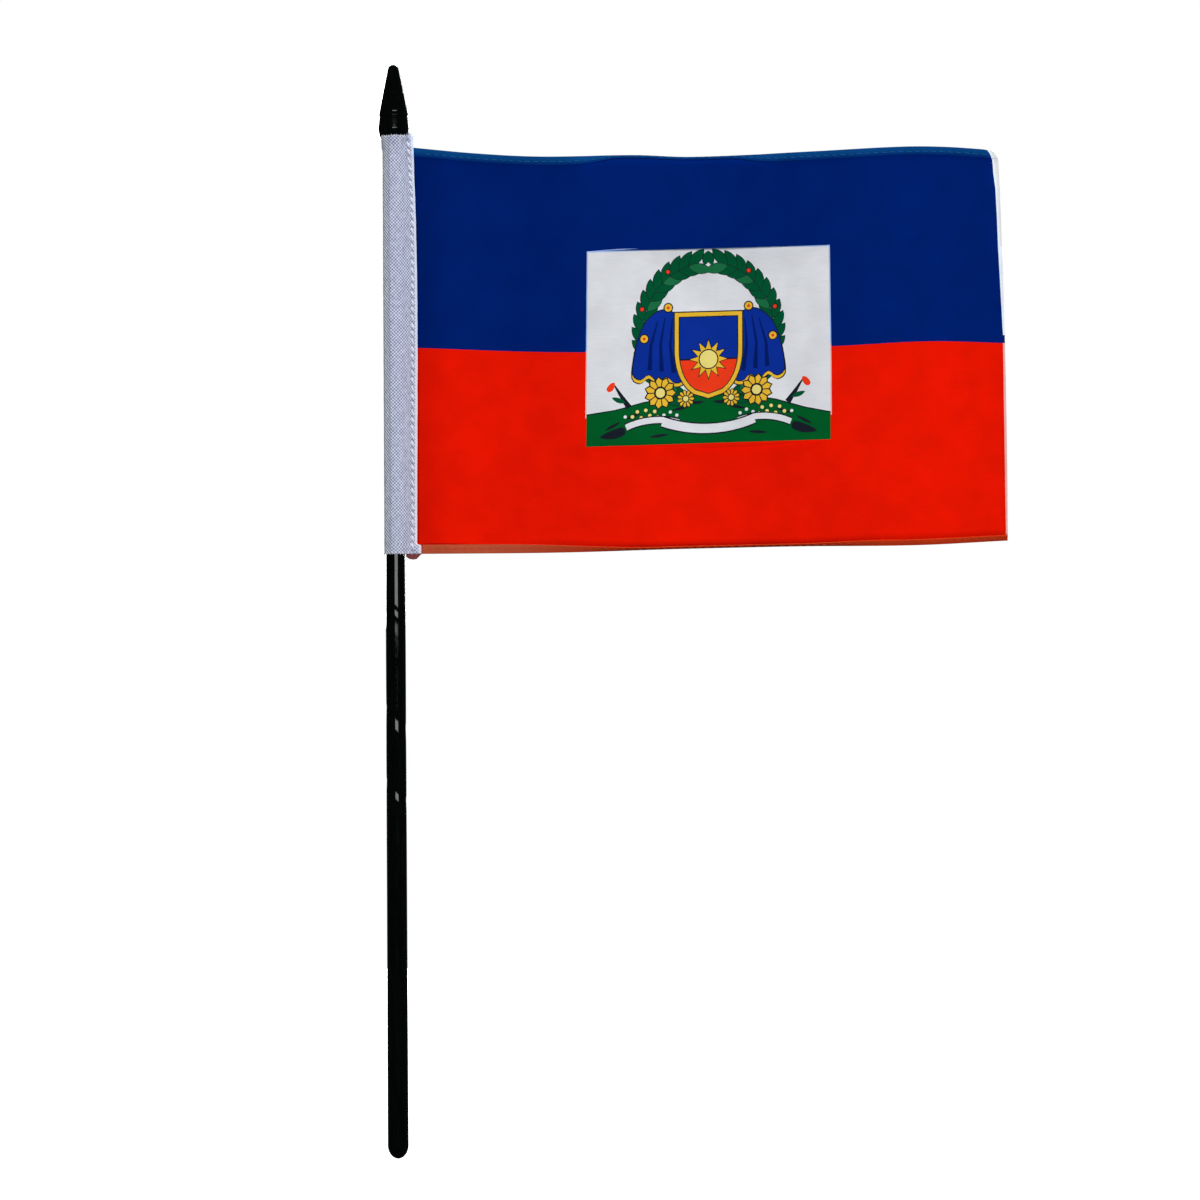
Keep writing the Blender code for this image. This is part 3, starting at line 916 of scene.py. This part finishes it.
def paint_ribbon():
    """A blank ribbon that hangs in a shallow curve across the mound."""
    tail = arc(17.5, -4.5, 14.5, 11.0, 122, 68, 8)
    for colour, width in (("ink", 2.1), ("white", 1.45)):
        paint_both(colour, band(tail, width, width))
    paint_both("ink", loop([(8.9, 4.9), (5.2, 3.6), (3.4, 2.2), (6.8, 2.0), (9.6, 3.2)], 3))
    fold = arc(20.6, 8.0, 2.4, 3.0, 255, 310, 4)
    paint_both("ink", band(fold, 2.2))
    sag = arc(CENTRE, 24.0, 26.0, 20.0, 244, 296, 12)
    for colour, width in (("ink", 2.9), ("white", 2.2)):
        paint(colour, band(sag, width))


def paint_flag():
    """Every printed area, from the ground colours up to the smallest detail, with the painted
    shadows and shade among them.
    """
    low, high = -HEM_LENGTH, FOLD_TOP + HEM_LENGTH
    middle = 50.0
    print_cloth("red", box(CLOTH_START, low, CLOTH_END, high))
    print_cloth("blue", box(CLOTH_START, middle, CLOTH_END, high))
    bare = ((middle + 2, 0.45), (75, 1.0), (82, 1.0), (90, 1.1), (94, 1.45), (97, 1.55), (high, 1.6))
    edge = [(CLOTH_END - width, w) for w, width in bare]
    print_cloth("bare_edge", [(CLOTH_END, high)] + edge[::-1] + [(CLOTH_END, middle + 2)])
    inner = [(CLOTH_END - max(width - 0.55, 0.02), w) for w, width in bare[1:]]
    print_cloth("bare", [(CLOTH_END, high)] + inner[::-1] + [(CLOTH_END, 75)])
    fringe = 0.48
    print_cloth("pale_red", box(CLOTH_END - fringe, 1, CLOTH_END, middle))
    # Painted shadow: a strip of darker red and darker blue beside the lap's front edge, where the
    # lap shades the cloth.
    shade = 0.42
    heights = (2.6, *range(10, 100, 10), 97.6)
    edge = [(lap_edge_x(TAPE_BOTTOM + w, True) + shade, w) for w in heights]
    for colour, low_w, high_w in (("red_shadow", 0, middle), ("blue_shadow", middle, 100)):
        side = [point for point in edge if low_w <= point[1] <= high_w]
        print_cloth(colour, [(CLOTH_START, side[0][1])] + side + [(CLOTH_START, side[-1][1])])
    # Painted shade: a dark red line just above the bottom hem's raw edge near the hoist, where the
    # hem's edge shades the panel.
    crease_shade = [(s, 2.0 + 0.40 * (1 - ramp(s, 8, 28))) for s in steps(5.0, 28.0, 3.0)]
    print_cloth("red_shadow", [(5.0, 1.9), (28.0, 1.9)] + crease_shade[::-1])
    # Painted shadow: the corner that hangs at the foot of the hoist is printed dark maroon on both
    # faces.
    print_cloth("maroon_shadow", box(CLOTH_START, low, 6.8, 1.6))
    halo = 0.3
    cut = 23.5
    paint("pale_red", [(-halo, 7.0), (FIELD_WIDTH + halo, 6.0), (FIELD_WIDTH + halo, cut),
                       (-halo, cut)])
    paint("pale_blue", box(-halo, cut, FIELD_WIDTH + halo, FIELD_HEIGHT + halo))
    paint("white", box(0, 0, FIELD_WIDTH, FIELD_HEIGHT))
    paint_mound()
    paint_wreath()
    paint_drapes()
    paint_shield()
    paint_rosettes()
    paint_small_flowers()
    paint_ribbon()


# ---- the cloth ----

def cut_points():
    """Grid points of the cut cloth, finer along the hems and the hoist."""
    columns = steps(CLOTH_START, 14.0, 0.6)[:-1] + steps(14.0, CLOTH_END, 1.5)
    fine_columns = steps(CLOTH_START, CLOTH_END, 0.62)
    turn, under = math.pi * HEM_TURN, math.pi * HEM_UNDER_TURN
    hem = spread(0.0, turn, 5) + spread(turn, turn + HEM_WIDTH, 3)[1:]
    hem += spread(turn + HEM_WIDTH, turn + HEM_WIDTH + under, 4)[1:]
    hem += [HEM_LENGTH]
    near = [0.5, 1.0, 1.6, 2.2, 2.8]
    rows = steps(3.6, FOLD_TOP - 3.6, 1.5)
    fine_rows = [-v for v in reversed(hem)] + near
    fine_rows += [FOLD_TOP - v for v in reversed(near)] + [FOLD_TOP + v for v in hem]
    return columns, rows, fine_columns, fine_rows


def triangulate():
    """The cut cloth as points, triangles, and the colour of each triangle."""
    columns, rows, fine_columns, fine_rows = cut_points()
    points, edges, faces = [], [], []
    for w in fine_rows:
        first = len(points)
        points += [Vector((s, w)) for s in fine_columns]
        edges += [(first + i, first + i + 1) for i in range(len(fine_columns) - 1)]
    points += [Vector((s, w)) for w in rows for s in columns]
    for _, outline in prints:
        faces.append(list(range(len(points), len(points) + len(outline))))
        points += [Vector(point) for point in outline]
    found = delaunay_2d_cdt(points, edges, faces, 1, 1e-5)
    verts, triangles, sources = found[0], found[2], found[5]
    colours = [prints[max(source)][0] for source in sources]
    return verts, triangles, colours


def dye(colour, at, reverse):
    """The colour that shows at a point of the cut cloth, on its face or on its reverse, painted
    shade included.
    """
    face, back = (Vector(shade) for shade in PRINT_COLOURS[colour])
    if reverse and colour == "blue":
        return back.lerp(face, 0.75 * ramp(at.y - FOLD_TOP, 0.9, 2.3))
    # Near the hoist and the bottom fold the reverse red turns a darker brown: partly show-through,
    # partly painted shade.
    if reverse and colour == "red":
        return back.lerp(RED_REVERSE_SHADED, (1 - ramp(at.x, 25, 60)) * (1 - ramp(at.y, 0.0, 2.0)))
    # Painted shade: on the face the red and the blue darken by up to 17% towards the hoist, within
    # about 14 mm of the staff's axis.
    if colour in ("red", "blue"):
        return face * (1 - 0.17 * (1 - ramp(at.x, 6.0, 14.0)))
    return back if reverse else face


def make_cloth(material):
    """The sheet's two faces and its cut rim, with a colour for each corner of each face."""
    paint_flag()
    flat, triangles, colours = triangulate()
    count = len(flat)
    half = CLOTH_THICKNESS / 2
    verts = [sheet_point(s, w, -half) for s, w in flat]
    verts += [sheet_point(s, w, half) for s, w in flat]
    uvs = [(s, w) for s, w in flat] * 2
    faces = [tuple(t) for t in triangles]
    faces += [tuple(count + i for i in reversed(t)) for t in triangles]
    edges = {(a, b): None for t in triangles for a, b in zip(t, t[1:] + t[:1])}
    rim = [(a, b) for a, b in edges if (b, a) not in edges]
    faces += [(b, a, count + a, count + b) for a, b in rim]
    cloth = new_piece("flag_cloth", verts, faces, uvs)
    attribute = cloth.data.color_attributes.new("print", "FLOAT_COLOR", "CORNER")
    values = []
    for polygon in cloth.data.polygons:
        index = polygon.index
        rim_face = index >= 2 * len(triangles)
        colour = "white" if rim_face else colours[index % len(triangles)]
        for vertex in polygon.vertices:
            values += [*dye(colour, flat[vertex % count], index >= len(triangles)), 1.0]
    attribute.data.foreach_set("color", values)
    normals = [sheet_normal(s, w) for s, w in flat]
    cloth.data.normals_split_custom_set_from_vertices([-n for n in normals] + normals)
    cloth.data.materials.append(material)
    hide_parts("cloth_hoist_margin", "cloth_panel", "cloth_top_hem", "cloth_bottom_hem")
    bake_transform(cloth)
    return cloth


# ---- the sleeve ----

def hem_rise(z):
    """1 where the laps lie over the doubled hems, 0 between and beyond them."""
    low = 1 - ramp(z, TAPE_BOTTOM + 1.8, TAPE_BOTTOM + 3.0)
    high = ramp(z, 249.8, 251.0) * (1 - ramp(z, 253.0, 254.2))
    return max(low, high)


def lap_edge_x(z, front):
    tab = 1 - ramp(z, TAPE_BOTTOM + TAB_HEIGHT - 0.25, TAPE_BOTTOM + TAB_HEIGHT + 0.1)
    edge = smooth_curve(LAP_EDGE_LINE, z) + 0.06 * wander(2.2, z * 0.2)
    if front:
        return edge + (TAB_X - 0.1 - edge) * tab
    return edge - 0.35 + (TAB_X - edge + 0.35) * tab


def seam_y(z, front):
    """Middle of the tape's thickness at the seam."""
    gap = CLOTH_THICKNESS / 2 + TAPE_THICKNESS / 2 + 0.02
    if front:
        return -(gap + 2 * HEM_TURN * hem_rise(z))
    return gap


def finial_clearance(z):
    """The least radius of the tape's middle line, which passes in front of the finial's foot.

    Lower down it leaves room for the thicker foot of the staff, which the sleeve can reach.
    """
    widening = 0.342
    at_bottom = FINIAL_FOOT_RADIUS + 0.17
    loose = 2.67 - 0.0008 * (z - TAPE_BOTTOM)
    if z < FINIAL_BOTTOM:
        return loose + (at_bottom - loose) * ramp(z, FINIAL_BOTTOM - 2.0, FINIAL_BOTTOM - 0.3)
    return at_bottom + widening * (z - FINIAL_BOTTOM)


def tape_section(z):
    """The folded tape's middle line at a height, from its front edge round to its back edge."""
    stitch = smooth_curve(STITCH_LINE, z)
    front, back = lap_edge_x(z, True), lap_edge_x(z, False)
    fy, by = seam_y(z, True), seam_y(z, False)
    slack = 0.10 * wander(4.4, z * 0.11)
    curl = 0.07 + 0.04 * wander(9.1, z * 0.35)
    points = [
        (front, fy - curl), ((front + stitch) / 2 + 0.1, fy - 0.02), (stitch, fy),
        (stitch - 0.55, fy - 0.28), (3.1, -1.22 + slack), (1.75, -2.28 + 0.5 * slack), (0.4, -2.72),
        (-0.5, -2.79), (-0.95, -2.77 - 0.04 * wander(5.0, z * 0.2)), (-1.15, -2.60), (-1.75, -2.05),
        (-2.32, -1.52), (-2.58, -1.0), (-2.66, 0.0), (-2.44, 1.3), (-1.35, 2.46), (-0.1, 2.70),
        (1.2, 2.45), (2.4, 1.72 - slack), (3.3, 0.95 - slack), (stitch - 0.5, by + 0.16),
        (stitch, by), ((back + stitch) / 2, by + 0.01), (back, by + 0.04),
    ]
    clear = finial_clearance(z)
    places = [Vector(point) for point in points]
    return [place * max(1.0, clear / place.length) for place in places]


def section_line(points, count):
    """Evenly spread points along the smooth line through points, and its length."""
    fine = []
    for i in range(len(points) - 1):
        around = [points[min(max(i + k - 1, 0), len(points) - 1)] for k in range(4)]
        fine += [spline(*around, t) for t in spread(0.0, 1.0, 6)[:-1]]
    fine.append(points[-1])
    lengths = [0.0]
    for a, b in zip(fine, fine[1:]):
        lengths.append(lengths[-1] + (b - a).length)
    line = []
    for want in spread(0.0, lengths[-1], count):
        i = min(max(bisect_right(lengths, want) - 1, 0), len(fine) - 2)
        share = (want - lengths[i]) / max(lengths[i + 1] - lengths[i], 1e-9)
        line.append(fine[i].lerp(fine[i + 1], share))
    return line, lengths[-1]


def tape_top(share):
    """Height of the tape's cut top edge, by the share of its width from the front edge.

    The front stands up before the finial, the left side and the back stop below it, and the
    back's free edge stands up again.
    """
    low = FINIAL_BOTTOM - 0.25
    front = 1 - ramp(share, 0.40, 0.50)
    back = ramp(share, 0.86, 0.90)
    edge = 0.12 * wander(7.7, share * 40) + 0.25 * bump(share, 0.2, 0.12)
    top = low + (FRONT_TAB_TOP - 0.1 - low) * front + (BACK_TAB_TOP - 0.1 - low) * back
    return top + edge


def stitch_holes():
    return steps(TAPE_BOTTOM + 0.9, FRONT_TAB_TOP - 1.0, STITCH_PITCH)


def make_sleeve(material):
    """The tape as one closed sheet, with the seam's needle holes pressed into it."""
    rows = spread(0.0, 1.0, TAPE_ROWS)
    holes = stitch_holes()
    inner, outer, uvs, hole_and_crease_shades, selvages, folds = [], [], [], [], [], []
    low = TAPE_BOTTOM
    for row in rows:
        for column in range(TAPE_COLUMNS + 1):
            share = column / TAPE_COLUMNS
            uneven = 0.05 * wander(1.1, share * 60) * (1 - row)
            z = low + uneven + (tape_top(share) - low - uneven) * row
            line, _ = section_line(tape_section(z), TAPE_COLUMNS)
            here = line[column]
            along = (line[min(column + 1, TAPE_COLUMNS)] - line[max(column - 1, 0)]).normalized()
            normal = Vector((along.y, -along.x))
            near = min(abs(z - hole) for hole in holes)
            seam_x = smooth_curve(STITCH_LINE, z)
            seam = bump(here.x, seam_x, 0.28) if share < 0.2 or share > 0.85 else 0.0
            # The fold mask marks the turned strip: its weave slants one way, and its colour is
            # painted lighter.
            turned = here.y < 1.0 and share < 0.6
            folds.append(1 - ramp(here.x, -1.12, -0.98) if turned else 0.0)
            # Painted shade: a dark line along the crease where the tape turns round the staff's left
            # side.
            crease_shade = 0.30 * bump(here.x, -1.05, 0.16) if turned and here.y < 0 else 0.0
            pinch = seam * (0.03 + 0.07 * bump(near, 0, 0.35))
            ripple = 0.02 * wander(3.9, share * 14, z * 0.25) * (1 - seam)
            centre = here + normal * (pinch + ripple)
            outer.append((*(centre - normal * TAPE_THICKNESS / 2), z))
            inner.append((*(centre + normal * TAPE_THICKNESS / 2), z))
            uvs.append((share * TAPE_WIDTH, z))
            hole_and_crease_shades.append(max(seam * bump(near, 0, 0.30), crease_shade))
            edge = min(share, 1 - share) * TAPE_WIDTH
            selvages.append(1 - ramp(edge, 0.45, 0.75))
    wide = TAPE_COLUMNS + 1
    count = len(outer)
    faces = grid_faces(len(rows), wide, closed=False)
    faces += [tuple(count + i for i in reversed(face)) for face in faces]
    last = (len(rows) - 1) * wide
    for k in range(TAPE_COLUMNS):
        faces.append((count + k, count + k + 1, k + 1, k))
        faces.append((last + k, last + k + 1, count + last + k + 1, count + last + k))
    for i in range(len(rows) - 1):
        a, b = i * wide, i * wide + TAPE_COLUMNS
        faces.append((a, a + wide, count + a + wide, count + a))
        faces.append((b + wide, b, count + b, count + b + wide))
    sleeve = new_piece("sleeve_tape", outer + inner, faces, uvs * 2)
    face_outwards(sleeve)
    # The hole attribute carries the needle holes and the painted crease shade.
    for name, values in (("hole", hole_and_crease_shades), ("selvage", selvages), ("fold", folds)):
        attribute = sleeve.data.attributes.new(name, "FLOAT", "POINT")
        attribute.data.foreach_set("value", values * 2)
    sleeve.data.materials.append(material)
    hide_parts("sleeve_wrap", "sleeve_front_lap", "sleeve_back_lap")
    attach(sleeve, "hoist")
    return sleeve


# ---- threads ----

# A stitch from hole to hole: share of the way, its height from inside (0) to on top (1), width
STITCH_SHAPE = ((0.0, 0.0, 0.45), (0.15, 0.3, 0.5), (0.25, 0.8, 0.85), (0.37, 1.0, 1.0),
                (0.5, 1.06, 1.05), (0.63, 1.0, 1.0), (0.75, 0.8, 0.85), (0.85, 0.3, 0.5))


def stitch_run(holes, place, reach, inside, slant=0.0):
    """A thread through its holes: place(along, lift, aside) gives a point of its path."""
    points = []
    for start, end in zip(holes, holes[1:]):
        for share, height, width in STITCH_SHAPE:
            aside = slant * (0.5 - share) * bump(share, 0.5, 0.4) * 2
            lift = inside + (reach - inside) * height
            points.append((*place(start + (end - start) * share, lift, aside), width))
    points.append((*place(holes[-1], inside, 0.0), 0.45))
    return points


def make_hoist_threads(material):
    holes = stitch_holes()
    for kind, front, radius in (("needle", True, 0.21), ("bobbin", False, 0.15)):
        side = -1 if front else 1

        def place(z, lift, aside):
            y = seam_y(z, front) + side * (TAPE_THICKNESS / 2 + lift)
            return smooth_curve(STITCH_LINE, z) + aside, y, z

        run = stitch_run(holes, place, radius * 0.7, -0.2, 0.5)
        name = f"hoist_{kind}_stitches"
        thread = tube_piece(name, [run], radius)
        thread.data.materials.append(material)
        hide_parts(f"hoist_{kind}_thread")
        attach(thread, "hoist")


def make_hem_threads(top, material):
    edge = "top" if top else "bottom"
    q = FOLD_TOP - HEM_STITCH_Q if top else HEM_STITCH_Q
    holes = steps(FOLD_X + 0.6, CLOTH_END - 2.7, HEM_STITCH_PITCH)
    for kind, radius in (("needle", 0.09), ("bobbin", 0.08)):

        def place(s, lift, aside):
            half = CLOTH_THICKNESS / 2
            if kind == "needle":
                return cloth_place(s, q + aside, -(2 * HEM_TURN + half + lift))
            return cloth_place(s, q + aside, half + lift)

        run = stitch_run(holes, place, radius * 0.8, -0.12, 0.12)
        thread = tube_piece(f"{edge}_hem_{kind}_stitches", [run], radius, 6)
        thread.data.materials.append(material)
        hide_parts(f"{edge}_hem_{kind}_thread")
        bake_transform(thread)


def make_cut_yarns(material):
    """Short yarn ends along the tape's cut top and bottom edges."""
    random = Random(12)
    yarn_count = 52
    selvage_share = 0.06
    runs = []
    for end in ("top", "bottom"):
        for k in range(yarn_count):
            share = (k + random.uniform(0.2, 0.8)) / yarn_count
            top = tape_top(share)
            z = top if end == "top" else TAPE_BOTTOM + 0.05
            line, _ = section_line(tape_section(z - 0.1), TAPE_COLUMNS)
            here = line[min(int(share * TAPE_COLUMNS), TAPE_COLUMNS - 1)]
            up = 1 if end == "top" else -1
            reach = random.uniform(0.08, 0.34)
            free = 1.0 if min(share, 1 - share) < selvage_share else 0.15
            here = here * (1.0 if free == 1.0 else 1 + 0.08 / here.length)
            lean_x = random.uniform(-0.12, 0.12) * free
            lean_y = random.uniform(-0.05, 0.05) * free
            runs.append([(here.x + lean_x * t, here.y + lean_y * t,
                          z + up * (reach * t - 0.25 * (1 - t)))
                         for t in (0.0, 0.4, 0.75, 1.0)])
    yarns = tube_piece("sleeve_cut_yarns", runs, 0.055, 6)
    yarns.data.materials.append(material)
    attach(yarns, "hoist")
    return yarns


# ---- light, floor and camera ----

def area_light(name, place_m, target_m, width, height, watts, tint=(1, 1, 1)):
    light = bpy.data.lights.new(name, "AREA")
    light.shape = "RECTANGLE"
    light.size, light.size_y = width, height
    light.energy = watts
    light.color = tint
    obj = add_object(name, light)
    obj.location = place_m
    obj.rotation_mode = "QUATERNION"
    obj.rotation_quaternion = (Vector(target_m) - Vector(place_m)).to_track_quat("-Z", "Y")
    obj.visible_camera = False
    return obj


def make_lights():
    """A low wide key in front, a little to the right, and a dim surround.

    One light stands behind, one hangs above, and a weak one stands on each side. Only the key
    and the one behind show as highlights.
    """
    flag = (0.07, 0.0, 0.2)
    bearing, distance = math.radians(10), 1.6
    base, height = 0.150, 0.46
    place = (0.02 + distance * math.sin(bearing), -distance * math.cos(bearing), base + height / 2)
    area_light("key", place, (0.02, 0.0, base + height / 2), 1.0, height, 22.5)
    area_light("back", (-0.3, 1.55, 0.38), (-0.02, 0.0, 0.38), 0.9, 0.5, 24.0)
    area_light("overhead", (0.1, -0.25, 1.7), flag, 1.0, 0.6, 12.0).visible_glossy = False
    area_light("left_fill", (-1.5, 0.0, 0.5), flag, 0.8, 0.8, 4.0).visible_glossy = False
    area_light("right_fill", (1.6, 0.0, 0.5), flag, 0.8, 0.8, 8.0).visible_glossy = False
    world = bpy.data.worlds.new("surround")
    world.use_nodes = True
    tree = world.node_tree
    background = tree.nodes["Background"]
    path = tree.nodes.new("ShaderNodeLightPath")
    level = tree.nodes.new("ShaderNodeMapRange")
    level.inputs["To Min"].default_value = 0.04
    level.inputs["To Max"].default_value = 1.0
    tree.links.new(path.outputs["Is Camera Ray"], level.inputs["Value"])
    tree.links.new(level.outputs[0], background.inputs["Strength"])
    background.inputs["Color"].default_value = (1, 1, 1, 1)
    bpy.context.scene.world = world


def make_floor():
    bm = bmesh.new()
    bmesh.ops.create_circle(bm, cap_ends=True, segments=96, radius=1.3)
    mesh = bpy.data.meshes.new("floor")
    bm.to_mesh(mesh)
    bm.free()
    floor = add_object("floor", mesh)
    floor.location = (0.06, 0.0, -0.0002)
    looks = Looks("floor_paper", 0.9, (0.86, 0.86, 0.87), Specular_IOR_Level=0.0,
                  Emission_Color=(1, 1, 1, 1), Emission_Strength=0.9)
    floor.data.materials.append(looks.material)
    floor.visible_diffuse = False
    floor.visible_glossy = False


def make_camera():
    """Level, straight in front, with a long lens; it leans by the staff's small tilt."""
    data = bpy.data.cameras.new("camera")
    data.sensor_width = 36.0
    distance, width = 2.5, 0.300
    data.lens = data.sensor_width * distance / width
    data.clip_end = 20.0
    camera = add_object("camera", data)
    camera.location = (0.0511, -distance, 0.1394)
    camera.rotation_euler = (math.pi / 2, 0.0048, 0.0)
    bpy.context.scene.camera = camera


make_camera()
make_lights()
make_floor()
bpy.context.scene.view_settings.view_transform = "Standard"

black = staff_plastic()
make_staff(black)
make_finial(black)
tape = woven_tape()
white = spun_thread("white_thread", (0.70, 0.71, 0.78), (0.96, 0.96, 0.99))
blue = spun_thread("blue_thread", (0.002, 0.05, 0.17), (0.010, 0.17, 0.33))
red = spun_thread("red_thread", (0.35, 0.02, 0.01), (0.70, 0.10, 0.04))
sleeve = make_sleeve(tape)
yarns = make_cut_yarns(white)
make_hoist_threads(white)
cloth = make_cloth(printed_cloth())
make_hem_threads(True, blue)
make_hem_threads(False, red)
